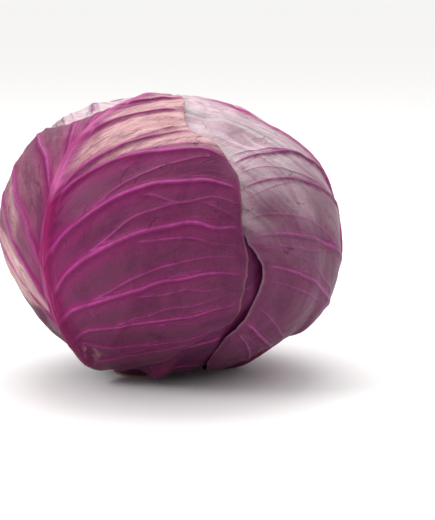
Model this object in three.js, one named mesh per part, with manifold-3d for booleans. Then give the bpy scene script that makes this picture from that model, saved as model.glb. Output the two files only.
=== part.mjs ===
// A whole red cabbage head: a cut stalk, the packed heart of inner leaves, and six wrapper leaves that
// overlap round it. Units are millimetres, +Z is up, and the origin is the centre of the stalk's cut face,
// the small flat spot that the head stands on. The stalk is cut slightly askew, so the head leans to +X.
//
// Every leaf is a shell that follows the head's surface. It is worked out in the head's own frame, upright
// about its centre: a point is its direction from there and a radius. A leaf has two angles of its own, in
// degrees: "station" runs along its midrib from the stalk (0) over the crown (180), and "across" runs from
// the midrib to its margins, negative to the left. Side veins are ridges along lines of constant station.

import * as THREE from "three";
import { mergeVertices } from "three/addons/utils/BufferGeometryUtils.js";
import Module from "manifold-3d";

// Driving dimensions: the heart's radius, its height above and below the head's centre, and by what share it
// is fuller at the shoulders and slimmer towards the stalk than an egg of that size
const HEART_RADIUS = 78;
const HEART_CROWN = 57;
const HEART_FOOT = 72.5;
const SHOULDER = 0.075;
const TAPER = 0.09;

// The lean in degrees, the height of the head's centre, and the stalk: its top and neck are levels in the
// head's own frame, and it is cut off where the head stands
const LEAN = 11.5;
const CENTRE_HEIGHT = 70;
const STALK_RADIUS = 15;
const STALK_NECK = -50;
const STALK_TOP = -6;
const STALK_TOP_RADIUS = 9;
const STALK_TIP = 6;

// The head has settled on the ground: the heart is pressed flat this far above it, with room for the leaves,
// and the pressed spot is rounded off over this much
const PRESSED_ROOM = 7.35;
const PRESSED_SOFTNESS = 5;

// The blades' thickness in the middle and at the margin, and the air between a leaf and what it lies on
const BLADE = 1.1;
const MARGIN_BLADE = 0.8;
const LEAF_GAP = 1.2;
const SOCKET_GAP = 0.4;
const FACET_GAP = 0.3;

// Distances over a leaf, in degrees: how far it takes to come down past the margin of a leaf beneath it, how
// near an overlying leaf flattens its ribs, and how far in from the margin it lifts, thins and loses its ribs
const DRAPE = 15;
const PRESSED = 7;
const LIFT_REACH = 9;
const THIN_REACH = 6;

// The wavy margin stands off by this much, in this many waves for each turn round the head. The waves grow
// from the stalk over the first pair of stations and die out towards the tip over the second.
const MARGIN_LIFT = 2.2;
const LOBE_WAVES = 14;
const LOBES_FROM = [20, 45];
const LOBES_TO = [125, 155];

// Ribs: the midrib's height and half width at stations along it, and the side veins' at the midrib
const MIDRIB_HEIGHT = [[12, 1.4], [30, 3.6], [60, 4.2], [110, 2.6], [150, 1.3], [185, 0.4]];
const MIDRIB_WIDTH = [[12, 9], [60, 6.5], [110, 4], [150, 2.6], [185, 2]];
const VEIN_HEIGHT = 2.1;
const VEIN_WIDTH = 3.2;
const VEIN_FADE = 70;
const RIBS_FROM = [12, 28];

// Side veins run up beside the midrib over TURN degrees, and leave it ever more steeply between two stations
const TURN = 5;
const STEEPER_FROM = 40;
const STEEPER_TO = 92;

// The midrib's gentle bend: its waves for each turn round the head, and the station of its widest swing
const SWAY_WAVES = 1.8;
const SWAY_CENTRE = 70;

const RAD = Math.PI / 180;
const UP = new THREE.Vector3(0, 0, 1);
const DOWN = new THREE.Vector3(Math.sin(LEAN * RAD), 0, -Math.cos(LEAN * RAD));
const PURPLE = 0x7a2a58;
const DEEP_PURPLE = 0x5b1c42;
const PALE_STALK = 0xe6dcc0;

// The wrapper leaves from the innermost to the outermost. Each veins list holds the stations of the side
// veins, of both sides of a leaf or of one. A side is how its veins leave the midrib: how far they run up
// beside it, and how steeply they climb afterwards. An outline lists station and reach across of the margin,
// from the stalk to the tip.
const ROUND_SIDE = {
  runUp: 8,
  slope: 0.12,
  gain: 0.013,
  outline: [[15, 34], [27, 56], [60, 66], [95, 62], [120, 52], [145, 38], [165, 21], [175, 11], [181, 3]],
};
const FRONT_LEFT = {
  runUp: 12,
  slope: 0.3,
  gain: 0.004,
  veins: [32, 45, 60, 76, 94, 110, 124, 142],
  outline: [[15, 34], [27, 54], [60, 62], [86, 52], [100, 29], [113, 17], [126, 12], [148, 8], [164, 3]],
};
const FRONT_RIGHT = {
  runUp: 8,
  slope: 0.1,
  gain: 0.022,
  veins: [32, 43, 55, 68, 81, 93, 101, 121, 142],
  outline: [[15, 36], [27, 60], [60, 68], [80, 58], [96, 37], [108, 27], [122, 21], [142, 12], [164, 3]],
};
const LEAVES = [
  { name: "wrapper_leaf_6", facing: -79, sway: 3, veins: [30, 48, 70, 96], wave: 0.6 },
  { name: "wrapper_leaf_5", facing: 146, sway: -4, veins: [32, 52, 76, 102], wave: 2.1 },
  { name: "wrapper_leaf_4", facing: 9, sway: 4, veins: [28, 46, 68, 94], wave: 3.4 },
  { name: "wrapper_leaf_3", facing: -129, sway: -5, veins: [30, 44, 60, 78, 98, 120], wave: 4.4 },
  { name: "wrapper_leaf_2", facing: 94, sway: 5, veins: [30, 44, 60, 78, 98, 120], wave: 5.3 },
  { name: "wrapper_leaf_1", facing: -46, sway: 5, wave: 0.2, left: FRONT_LEFT, right: FRONT_RIGHT },
];

// Soft lumps of the head, as waves over the direction: amplitude, wave vector and phase. They die out
// towards the stalk, between these two heights of a direction.
const LUMPS = [
  [0.9, [2.1, 1.3, 1.7], 0.4],
  [0.8, [-1.6, 3.4, 0.9], 1.9],
  [0.6, [3.9, -2.2, 3.1], 4.2],
];
const LUMPS_FROM = [-0.97, -0.8];

const smooth = (from, to, x) => THREE.MathUtils.smoothstep(x, from, to);

// A smooth curve through the points of a list, held level beyond its ends
function along(points, x) {
  const last = points.length - 1;
  if (x <= points[0][0]) return points[0][1];
  if (x >= points[last][0]) return points[last][1];
  const i = points.findIndex(([end]) => end > x) - 1;
  const slope = (from, to) => (points[to][1] - points[from][1]) / (points[to][0] - points[from][0]);
  const width = points[i + 1][0] - points[i][0];
  const leaving = slope(Math.max(0, i - 1), i + 1) * width;
  const arriving = slope(i, Math.min(last, i + 2)) * width;
  const u = (x - points[i][0]) / width;
  const start = points[i][1];
  const rise = points[i + 1][1] - start;
  const bend = 3 * rise - 2 * leaving - arriving;
  const twist = leaving + arriving - 2 * rise;
  return start + u * (leaving + u * (bend + u * twist));
}

// The lesser of two lengths, with the change from one to the other rounded off
function softMin(a, b, softness) {
  const share = THREE.MathUtils.clamp(0.5 + (b - a) / (2 * softness), 0, 1);
  return b + (a - b) * share - softness * share * (1 - share);
}

function heartRadius(d) {
  const lump = LUMPS.reduce(
    (sum, [size, k, phase]) => sum + size * Math.sin(k[0] * d.x + k[1] * d.y + k[2] * d.z + phase), 0);
  const half = d.z > 0 ? HEART_CROWN : HEART_FOOT;
  const flat = (d.x * d.x + d.y * d.y) / HEART_RADIUS ** 2 + (d.z * d.z) / half ** 2;
  const slant = 4 * d.z * d.z * (1 - d.z * d.z);
  const shaped = (1 + (d.z > 0 ? SHOULDER : -TAPER) * slant) / Math.sqrt(flat);
  const round = shaped + lump * smooth(...LUMPS_FROM, d.z);
  const down = d.dot(DOWN);
  return down > 0 ? softMin(round, (CENTRE_HEIGHT - PRESSED_ROOM) / down, PRESSED_SOFTNESS) : round;
}

const sideOf = (leaf, across) => (across < 0 ? leaf.left : leaf.right) ?? ROUND_SIDE;
const veinsOf = (leaf, across) => sideOf(leaf, across).veins ?? leaf.veins;
const sway = (leaf, angle) => leaf.sway * Math.cos(SWAY_WAVES * (angle - SWAY_CENTRE) * RAD);
const slopeAt = (side, station) =>
  side.slope + side.gain * (THREE.MathUtils.clamp(station, STEEPER_FROM, STEEPER_TO) - STEEPER_FROM);
const runUp = (side, reach) => side.runUp * (1 - Math.exp(-reach / TURN));

// Direction from the head's centre to a leaf's point
function leafDirection(leaf, station, across) {
  const side = sideOf(leaf, across);
  const reach = Math.abs(across);
  const angle = station + runUp(side, reach) + slopeAt(side, station) * reach;
  const t = (across + sway(leaf, angle)) * RAD;
  const facing = leaf.facing * RAD;
  const outward = new THREE.Vector3(Math.sin(facing), -Math.cos(facing), 0);
  return outward
    .clone()
    .multiplyScalar(Math.sin(angle * RAD))
    .addScaledVector(UP, -Math.cos(angle * RAD))
    .multiplyScalar(Math.cos(t))
    .addScaledVector(new THREE.Vector3().crossVectors(UP, outward), Math.sin(t));
}

// A leaf's station and across at a direction: the way back from leafDirection
function leafPlace(leaf, d) {
  const facing = leaf.facing * RAD;
  const outward = new THREE.Vector3(Math.sin(facing), -Math.cos(facing), 0);
  const t = Math.asin(THREE.MathUtils.clamp(d.dot(new THREE.Vector3().crossVectors(UP, outward)), -1, 1));
  let angle = Math.atan2(d.dot(outward), -d.z) / RAD;
  if (angle < -80) angle += 360;
  const across = t / RAD - sway(leaf, angle);
  const side = sideOf(leaf, across);
  const reach = Math.abs(across);
  const low = angle - runUp(side, reach) - side.slope * reach;
  const steeper = (low + side.gain * STEEPER_FROM * reach) / (1 + side.gain * reach);
  if (low < STEEPER_FROM) return { station: low, across };
  if (steeper < STEEPER_TO) return { station: steeper, across };
  return { station: low - side.gain * (STEEPER_TO - STEEPER_FROM) * reach, across };
}

// How far inside its outline a leaf's point is, in degrees; negative outside
function inside(leaf, { station, across }) {
  const { outline } = sideOf(leaf, across);
  const first = outline[0][0];
  const last = outline[outline.length - 1][0];
  return Math.min(along(outline, station) - Math.abs(across), station - first, last - station);
}

// Height of the midrib and side veins over the blade
function ribHeight(leaf, { station, across }) {
  const side = sideOf(leaf, across);
  const reach = Math.abs(across);
  const mm = HEART_RADIUS * RAD;
  const midrib =
    along(MIDRIB_HEIGHT, station) * Math.exp(-(((reach * mm) / along(MIDRIB_WIDTH, station)) ** 2));
  const steep = (side.runUp / TURN) * Math.exp(-reach / TURN) + slopeAt(side, station);
  const narrow = Math.cos(reach * RAD);
  const spread = (mm * narrow * (1 + side.gain * reach)) / Math.hypot(1, steep * narrow);
  const near = Math.min(...veinsOf(leaf, across).map((v) => Math.abs(v - station))) * spread;
  const fade = Math.max(0, 1 - reach / VEIN_FADE);
  const vein = VEIN_HEIGHT * Math.sqrt(fade) * Math.exp(-((near / VEIN_WIDTH) ** 2));
  return Math.max(midrib, vein) * smooth(...RIBS_FROM, station);
}

// Each leaf lies on those beneath it: its inner radius is the heart's, plus every leaf it covers, and it
// comes down gently beyond their margins. Ribs stand up only where no other leaf presses on them.
const coverOf = (leaf, d, reach) => smooth(-reach, 0, inside(leaf, leafPlace(leaf, d)));

function leafRadii(index, d, place) {
  const leaf = LEAVES[index];
  const beneath = LEAVES.slice(0, index).reduce(
    (sum, other) => sum + coverOf(other, d, DRAPE) * (BLADE + LEAF_GAP), 0);
  const free = LEAVES.slice(index + 1).reduce((share, other) => share * (1 - coverOf(other, d, PRESSED)), 1);
  const edge = Math.max(0, inside(leaf, place));
  const ripple = free * (0.5 + 0.5 * Math.sin(LOBE_WAVES * place.station * RAD + leaf.wave));
  const near = 1 - smooth(0, LIFT_REACH, edge);
  const waved = smooth(...LOBES_FROM, place.station) * (1 - smooth(...LOBES_TO, place.station));
  const lift = MARGIN_LIFT * ripple * near * waved;
  const inner = heartRadius(d) + LEAF_GAP + beneath + lift;
  const full = smooth(0, THIN_REACH, edge);
  const blade = MARGIN_BLADE + (BLADE - MARGIN_BLADE) * full;
  return [inner, inner + blade + ribHeight(leaf, place) * free * full];
}

// A closed shell from two grids of points, the outer one and the inner one, joined round their edge. Rows
// climb away from the middle column, so each half splits its quads along their shorter diagonal.
function shell(outer, inner) {
  const rows = outer.length;
  const columns = outer[0].length;
  const points = [...outer.flat(), ...inner.flat()];
  const at = (layer, row, column) => layer * rows * columns + row * columns + column;
  const faces = [];
  const quad = (a, b, c, d) => faces.push(a, b, c, a, c, d);
  for (let r = 0; r + 1 < rows; r++)
    for (let c = 0; c + 1 < columns; c++) {
      if (c < (columns - 1) / 2) {
        quad(at(0, r, c), at(0, r, c + 1), at(0, r + 1, c + 1), at(0, r + 1, c));
        quad(at(1, r, c), at(1, r + 1, c), at(1, r + 1, c + 1), at(1, r, c + 1));
      } else {
        quad(at(0, r, c + 1), at(0, r + 1, c + 1), at(0, r + 1, c), at(0, r, c));
        quad(at(1, r + 1, c), at(1, r + 1, c + 1), at(1, r, c + 1), at(1, r, c));
      }
    }
  for (let c = 0; c + 1 < columns; c++) {
    quad(at(0, 0, c + 1), at(0, 0, c), at(1, 0, c), at(1, 0, c + 1));
    quad(at(0, rows - 1, c), at(0, rows - 1, c + 1), at(1, rows - 1, c + 1), at(1, rows - 1, c));
  }
  for (let r = 0; r + 1 < rows; r++) {
    quad(at(0, r, 0), at(0, r + 1, 0), at(1, r + 1, 0), at(1, r, 0));
    quad(at(0, r + 1, columns - 1), at(0, r, columns - 1), at(1, r, columns - 1), at(1, r + 1, columns - 1));
  }
  const geometry = new THREE.BufferGeometry();
  const numbers = points.flatMap((p) => p.toArray());
  geometry.setAttribute("position", new THREE.Float32BufferAttribute(numbers, 3));
  geometry.setIndex(faces);
  geometry.computeVertexNormals();
  return geometry;
}

// Stations of a leaf's rows: the foot, crest and foot of each side vein, with even rows between and beyond
const VEIN_FOOT = 2.6;
const WIDEST_ROW = 11;
const CLOSEST_ROW = 1.2;
function rowStations(leaf) {
  const { outline } = sideOf(leaf, 1);
  const crests = [...new Set([...veinsOf(leaf, -1), ...veinsOf(leaf, 1)])];
  const last = outline[outline.length - 1][0];
  const marks = crests.flatMap((v) => [v - VEIN_FOOT, v, v + VEIN_FOOT]).sort((a, b) => a - b);
  marks.push(last);
  const rows = [outline[0][0]];
  for (const mark of marks) {
    const start = rows[rows.length - 1];
    const gap = mark - start;
    if (gap < CLOSEST_ROW) continue;
    const steps = Math.ceil(gap / WIDEST_ROW);
    for (let n = 1; n <= steps; n++) rows.push(start + (gap * n) / steps);
  }
  return rows;
}

// Columns from the midrib outwards: its flank and foot, then even steps to the margin
const FLANK = 5;
const BLADE_STEPS = [0.2, 0.4, 0.6, 0.8, 1];
function columnAcross(leaf, station, sign) {
  const reach = along(sideOf(leaf, sign).outline, station);
  const foot = Math.min(2 * FLANK, reach * 0.5);
  return [foot / 2, foot, ...BLADE_STEPS.map((share) => foot + (reach - foot) * share)].map((a) => a * sign);
}

function leafGeometry(index, grow) {
  const leaf = LEAVES[index];
  const outer = [];
  const inner = [];
  for (const station of rowStations(leaf)) {
    const left = columnAcross(leaf, station, -1).reverse();
    const places = [...left, 0, ...columnAcross(leaf, station, 1)].map((across) => ({ station, across }));
    const directions = places.map((p) => leafDirection(leaf, p.station, p.across));
    const radii = directions.map((d, i) => leafRadii(index, d, places[i]));
    outer.push(directions.map((d, i) => d.clone().multiplyScalar(radii[i][1] + grow)));
    inner.push(directions.map((d, i) => d.clone().multiplyScalar(radii[i][0] - grow)));
  }
  return shell(outer, inner);
}

// The stalk is the core that carries every leaf, trimmed flat at its foot, and the heart grows round it
const HEART_TURNS = 36;
const HEART_RINGS = 20;
const STALK_SIDES = 40;
function heartGeometry() {
  const ball = new THREE.SphereGeometry(1, HEART_TURNS, HEART_RINGS).rotateX(Math.PI / 2);
  const place = ball.getAttribute("position");
  const point = new THREE.Vector3();
  for (let i = 0; i < place.count; i++) {
    point.fromBufferAttribute(place, i).normalize();
    point.multiplyScalar(heartRadius(point));
    place.setXYZ(i, point.x, point.y, point.z);
  }
  return ball;
}

function stalkGeometry(grow) {
  const uncut = -2 * CENTRE_HEIGHT;
  const profile = [
    [0, uncut],
    [STALK_RADIUS + grow, uncut],
    [STALK_RADIUS + grow, STALK_NECK],
    [STALK_TOP_RADIUS + grow, STALK_TOP - STALK_TIP],
    [STALK_TOP_RADIUS / 2 + grow, STALK_TOP + grow],
    [0, STALK_TOP + grow],
  ].map(([r, z]) => new THREE.Vector2(r, z));
  return new THREE.LatheGeometry(profile, STALK_SIDES).rotateX(Math.PI / 2);
}

// Everything below the level that the head stands on, in the head's own frame
function belowGround() {
  const size = 4 * CENTRE_HEIGHT;
  const block = new THREE.BoxGeometry(size, size, size);
  return block.translate(0, 0, -CENTRE_HEIGHT - size / 2).rotateY(-LEAN * RAD);
}

const wasm = await Module();
wasm.setup();

function solid(geometry) {
  const bare = geometry.clone();
  bare.deleteAttribute("normal");
  bare.deleteAttribute("uv");
  const merged = mergeVertices(bare, 1e-4);
  const mesh = new wasm.Mesh({
    numProp: 3,
    vertProperties: merged.getAttribute("position").array,
    triVerts: new Uint32Array(merged.index.array),
  });
  return new wasm.Manifold(mesh);
}

function geometryOf(made) {
  const mesh = made.getMesh();
  const geometry = new THREE.BufferGeometry();
  geometry.setAttribute("position", new THREE.BufferAttribute(mesh.vertProperties, 3));
  geometry.setIndex(new THREE.BufferAttribute(mesh.triVerts, 1));
  geometry.computeVertexNormals();
  return geometry;
}

const skin = (color, roughness) => new THREE.MeshStandardMaterial({ color, roughness, metalness: 0 });

function named(name, geometry, material) {
  const mesh = new THREE.Mesh(geometry, material);
  mesh.name = name;
  return mesh;
}

// Flat facets of two pieces can meet where the true surfaces don't, so the one beneath gives way there
const grown = LEAVES.map((leaf, index) => solid(leafGeometry(index, FACET_GAP)));
const beneathLeaves = (piece, first) =>
  grown.slice(first).reduce((rest, over) => rest.subtract(over), piece);

const head = new THREE.Group();
const stalk = solid(stalkGeometry(0)).subtract(solid(belowGround()));
const heart = solid(heartGeometry()).subtract(solid(stalkGeometry(SOCKET_GAP)));
head.add(named("stalk", geometryOf(stalk), skin(PALE_STALK, 0.6)));
head.add(named("heart", geometryOf(beneathLeaves(heart, 0)), skin(DEEP_PURPLE, 0.5)));
LEAVES.forEach((leaf, index) => {
  const blade = beneathLeaves(solid(leafGeometry(index, 0)), index + 1);
  head.add(named(leaf.name, geometryOf(blade), skin(PURPLE, 0.45)));
});
head.rotation.y = LEAN * RAD;
head.position.set(CENTRE_HEIGHT * Math.tan(LEAN * RAD), 0, CENTRE_HEIGHT);

const cabbage = new THREE.Group();
cabbage.add(head);
export default cabbage;
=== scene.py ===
"""A whole red cabbage head: six wrapper leaves with their midribs, forked side veins and waved margins,
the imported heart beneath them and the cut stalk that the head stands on.

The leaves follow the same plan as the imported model. A point of the head is its direction from the
head's centre and a radius. A leaf has two angles of its own: "station" runs along its midrib from the
stalk (0) over the crown (180), and "across" runs from the midrib to its margins, negative to the left.
Side veins lie along lines of constant station. Lengths inside the plan are millimetres and angles are
degrees.
"""

import math
from collections.abc import Callable
from dataclasses import dataclass
from functools import partial

import bmesh
import bpy
import numpy as np
from mathutils import Matrix, Vector


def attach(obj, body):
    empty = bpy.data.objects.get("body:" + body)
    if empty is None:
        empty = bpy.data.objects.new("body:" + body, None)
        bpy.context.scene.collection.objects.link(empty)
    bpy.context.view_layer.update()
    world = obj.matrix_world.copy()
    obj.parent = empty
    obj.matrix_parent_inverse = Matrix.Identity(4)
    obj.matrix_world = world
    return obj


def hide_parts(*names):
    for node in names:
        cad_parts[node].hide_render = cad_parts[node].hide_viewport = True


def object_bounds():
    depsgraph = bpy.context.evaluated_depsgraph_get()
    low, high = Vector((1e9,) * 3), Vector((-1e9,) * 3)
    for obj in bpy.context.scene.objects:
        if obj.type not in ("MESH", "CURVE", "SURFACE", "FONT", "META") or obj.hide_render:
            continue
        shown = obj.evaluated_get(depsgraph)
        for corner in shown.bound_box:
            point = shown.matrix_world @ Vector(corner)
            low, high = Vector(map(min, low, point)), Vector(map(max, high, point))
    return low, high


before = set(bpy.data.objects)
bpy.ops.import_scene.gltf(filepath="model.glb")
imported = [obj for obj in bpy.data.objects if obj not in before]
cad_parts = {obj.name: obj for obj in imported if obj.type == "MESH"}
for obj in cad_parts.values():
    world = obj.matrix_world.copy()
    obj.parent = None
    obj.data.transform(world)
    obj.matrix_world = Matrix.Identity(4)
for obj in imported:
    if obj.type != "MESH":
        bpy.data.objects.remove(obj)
CAD_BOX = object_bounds()

bl_info = {
    "name": "Red cabbage head",
    "version": (1, 0, 0),
    "blender": (4, 5, 0),
    "location": "3D View > Sidebar > Cabbage",
    "description": "Builds a red cabbage head leaf by leaf, with its heart, its stalk and a plain stage",
    "category": "Add Mesh",
}

MM = 0.001
RAD = math.pi / 180

# The head: the heart's radius, its height above and below the centre, its fuller shoulders and slimmer
# foot, how it leans, and the flat that it has settled on
HEART_RADIUS = 78.0
HEART_CROWN = 57.0
HEART_FOOT = 72.5
SHOULDER = 0.075
TAPER = 0.09
LEAN = 11.5
CENTRE_HEIGHT = 70.0
PRESSED_ROOM = 7.35
PRESSED_SOFTNESS = 5.0
DOWN = np.array([math.sin(LEAN * RAD), 0.0, -math.cos(LEAN * RAD)])
MM_PER_DEGREE = HEART_RADIUS * RAD

# The blades: their thickness inside and at the margin, the air beneath them, how far past a margin
# beneath they come down again, and how far past its margin a leaf still presses on those beneath it
BLADE = 1.1
MARGIN_BLADE = 0.7
LEAF_GAP = 1.2
DRAPE = 15.0
PRESSED = 6.0

# A blade that nothing presses stands this much further out
FREE_ROOM = 0.5

# The lowest levels of a blade's outer and inner skin over the floor
OUTER_SKIN_LEVEL = 0.3
INNER_SKIN_LEVEL = 1.0

# Margins: how far in they wave and thin, how far they sink between the waves, how many waves a full
# circle would have, and the stations over which the waves rise and fade
LIFT_REACH = 9.0
THIN_REACH = 5.0
MARGIN_DROP = 0.75
LOBE_WAVES = 14
LOBES_FROM = (20, 45)
LOBES_TO = (66, 92)

# The angles round a leaf's plane run a full circle from here; 0 is straight down
LOWEST_ANGLE = -80.0

# The midrib's height and half width at stations along it, and its sway to left and right
MIDRIB_HEIGHT = [(12, 1.4), (30, 3.6), (60, 4.2), (110, 2.6), (150, 1.3), (185, 0.4)]
MIDRIB_WIDTH = [(12, 8), (30, 5.4), (60, 3.9), (110, 2.9), (150, 2.0), (185, 1.4)]
SWAY_WAVES = 1.8
SWAY_CENTRE = 70.0

# Side veins: the depth of the hollows beside them, the share of their height that shows through a leaf
# above, the reach at which they end, the stations over which all ribs rise, the reach over which they
# turn off the midrib, and the stations between which they leave it ever more steeply
HOLLOW_DEPTH = 0.5
GHOST = 0.3
VEIN_FADE = 74
RIBS_FROM = (12, 28)
TURN = 5.0
STEEPER_FROM = 40.0
STEEPER_TO = 92.0

# The stalk: its radius, the height of its top over the head's centre, where its pith ends and its woody
# ring begins, and its fibres to a metre, coarser than real ones so that they show
STALK_RADIUS = 15.0
STALK_TOP = -40.0
PITH_RADIUS = 9.5
RING_RADIUS = 11.5
STALK_FIBRES = 900

# The mesh's columns lie closer together towards the midrib by this power
CROWDING = 1.25

# Sizes of the patterns in the leaf's skin. Two numbers are across the midrib and along it. A bend is
# the length of the waves in a pattern, and a swing is how far they carry it.
CLOUD = 20
BLOTCH = 5
MOTTLE = 1.2
STREAK = (22, 3)
FIBRE = (1.3, 26)
WRINKLE = (5, 60)
WRINKLE_BEND = 30
WRINKLE_SWING = 20
CREASE_CELL = 15
CREASE_BEND = 8
CREASE_SWING = 14
CREASED_PATCH = 9

# Soft lumps of the whole head, as waves over the direction: amplitude, wave vector and phase. They
# rise from the foot between two heights of the direction.
LUMPS = [(0.9, (2.1, 1.3, 1.7), 0.4), (0.8, (-1.6, 3.4, 0.9), 1.9), (0.6, (3.9, -2.2, 3.1), 4.2)]
LUMPS_FROM = (-0.97, -0.8)


@dataclass
class Side:
    """One side of a leaf: how its veins turn off the midrib, their slope and how it grows with the
    station, the margin's reach at stations along it, and each vein's first station and its drift."""

    run_up: float
    slope: float
    gain: float
    outline: list
    veins: list


@dataclass
class Leaf:
    """One wrapper leaf: which way it faces, how its midrib sways, the phase of its margin's waves, its
    two sides, its mesh's cells along and across, the seed of its draws, its finish and its paleness,
    partly its own pale skin and partly painted highlight."""

    name: str
    facing: float
    sway: float
    wave: float
    left: Side
    right: Side
    grid: tuple
    seed: int
    skin: str
    pale_and_painted_highlight: Callable


ROUND_OUTLINE = [(15, 34), (27, 56), (60, 66), (95, 62), (120, 52), (145, 38), (165, 21), (175, 11),
                 (181, 3)]
FRONT_LEFT = Side(
    run_up=12, slope=0.3, gain=0.004,
    outline=[(15, 34), (27, 54), (60, 62), (83, 49), (94, 32), (104, 19), (115, 11), (128, 6), (148, 5),
             (161, 2)],
    veins=[(38, 18), (55, 15), (70, 13), (98, -4), (112, 3), (124, 3), (142, 0)],
)
FRONT_RIGHT = Side(
    run_up=8, slope=0.1, gain=0.022,
    outline=[(15, 36), (27, 60), (60, 68), (80, 58), (96, 37), (108, 27), (122, 21), (142, 12), (161, 2)],
    veins=[(32, -9), (44, -17), (45, -2), (55, 0), (65.5, 3), (79.5, 0), (99, -12), (101, 0), (123, -6),
           (142, 0)],
)


def round_side(*veins):
    """A side of one of the rounder leaves."""
    return Side(run_up=8, slope=0.12, gain=0.013, outline=ROUND_OUTLINE, veins=list(veins))


INNER_6 = round_side((30, -4), (48, 3), (70, -2), (96, 4))
INNER_5 = round_side((32, 2), (52, -3), (76, 4), (102, -3))
INNER_4 = round_side((28, -3), (46, 4), (68, 2), (94, -4))
LEFT_3 = round_side((30, -6), (43, 2), (58, -3), (77, 5), (97, -5), (118, 2))
RIGHT_3 = round_side((33, 3), (47, -3), (64, 5), (80, -2), (101, 4), (123, -4))
LEFT_2 = round_side((31, 4), (45, -4), (61, 3), (79, -3), (96, 5), (119, -2))
RIGHT_2 = round_side((29, -5), (42, 1), (57, -4), (75, 3), (99, -4), (121, 3))


def smooth(low, high, x):
    """0 below low, 1 above high, and an even S between them."""
    share = np.clip((x - low) / (high - low), 0, 1)
    return share * share * (3 - 2 * share)


def mix(a, b, share):
    """A share of the way from a to b."""
    return a + (b - a) * share


def along(points, x):
    """A smooth curve through a list of points, held level beyond its ends."""
    xs, ys = np.array(points, float).T
    x = np.clip(x, xs[0], xs[-1])
    i = np.clip(np.searchsorted(xs, x, side="right") - 1, 0, len(xs) - 2)
    before, after = np.maximum(i - 1, 0), np.minimum(i + 2, len(xs) - 1)
    width = xs[i + 1] - xs[i]
    leaving = (ys[i + 1] - ys[before]) / (xs[i + 1] - xs[before]) * width
    arriving = (ys[after] - ys[i]) / (xs[after] - xs[i]) * width
    u = (x - xs[i]) / width
    rise = ys[i + 1] - ys[i]
    bend = 3 * rise - 2 * leaving - arriving
    twist = leaving + arriving - 2 * rise
    return ys[i] + u * (leaving + u * (bend + u * twist))


def lattice(seed, *cells):
    """A repeatable random number from 0 to 1 for each lattice cell."""
    total = np.full(np.shape(cells[0]), seed * 0.618, float)
    for cell, weight in zip(cells, (12.9898, 78.233, 37.719)):
        total = total + cell * weight
    return np.abs(np.sin(total) * 43758.5453) % 1.0


def noise(x, y, seed):
    """Smooth noise from -1 to 1 over two coordinates, one cell to a unit."""
    x0, y0 = np.floor(x), np.floor(y)
    fx, fy = x - x0, y - y0
    fx, fy = fx * fx * (3 - 2 * fx), fy * fy * (3 - 2 * fy)
    low = mix(lattice(seed, x0, y0), lattice(seed, x0 + 1, y0), fx)
    high = mix(lattice(seed, x0, y0 + 1), lattice(seed, x0 + 1, y0 + 1), fx)
    return 2 * mix(low, high, fy) - 1


def front_pale_and_highlight(station, across):
    """How pale the front leaf is painted, from 0 to 1: its crown above a side vein on the right, partly
    pale dusty skin and partly painted highlight from above; small pale scars beside its base; a band with
    a fainter patch above it on the left, a painted highlight of light grazing from the left; and a little
    over the whole left side."""
    crown = smooth(-2, 4, station - 88 - 11 * np.exp(-np.abs(across) / 20)) * smooth(-8, 10, across)
    scars = smooth(0.15, 0.5, noise(across / 1.3, station / 3.5, 8)) * smooth(2, 4, across)
    scars *= (1 - smooth(5, 11, across)) * smooth(26, 30, station) * (1 - smooth(40, 46, station))
    band = smooth(33, 40, station) * (1 - smooth(58, 62, station)) * smooth(3, 8, -across)
    patch = 0.6 * smooth(60, 66, station) * (1 - smooth(74, 82, station)) * smooth(12, 20, -across)
    left = 0.12 * smooth(3, 9, -across)
    near = 1 - smooth(26, 40, -across)
    return np.maximum.reduce([crown, left, scars, np.maximum(band, patch) * near])


def crown_pale_and_highlight(station, across):
    """How pale the two leaves that cover the crown are painted towards the top: partly their own pale,
    dusty skin and partly painted highlight from above.
    """
    return 0.9 * smooth(68, 132, station + 0.2 * np.abs(across))


def tip_pale_and_highlight(station, across):
    """How pale the tips of the leaves beneath are painted towards the top: partly pale skin and partly
    painted highlight from above.
    """
    return 0.3 * smooth(110, 150, station)


# From the innermost to the outermost
LEAVES = [
    Leaf("wrapper_leaf_6", -79, 3, 0.6, INNER_6, INNER_6, (110, 80), 6, "inner", tip_pale_and_highlight),
    Leaf("wrapper_leaf_5", 146, -4, 2.1, INNER_5, INNER_5, (110, 80), 5, "inner", tip_pale_and_highlight),
    Leaf("wrapper_leaf_4", 9, 4, 3.4, INNER_4, INNER_4, (120, 90), 4, "inner", tip_pale_and_highlight),
    Leaf("wrapper_leaf_3", -129, -5, 4.4, LEFT_3, RIGHT_3, (220, 160), 3, "crown", crown_pale_and_highlight),
    Leaf("wrapper_leaf_2", 94, 5, 5.3, LEFT_2, RIGHT_2, (220, 160), 2, "crown", crown_pale_and_highlight),
    Leaf("wrapper_leaf_1", -46, 5, 0.2, FRONT_LEFT, FRONT_RIGHT, (250, 186), 1, "front", front_pale_and_highlight),
]


def soft_min(a, b, softness):
    """The lower of a and b, rounded where they meet."""
    share = np.clip(0.5 + (b - a) / (2 * softness), 0, 1)
    return b + (a - b) * share - softness * share * (1 - share)


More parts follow.
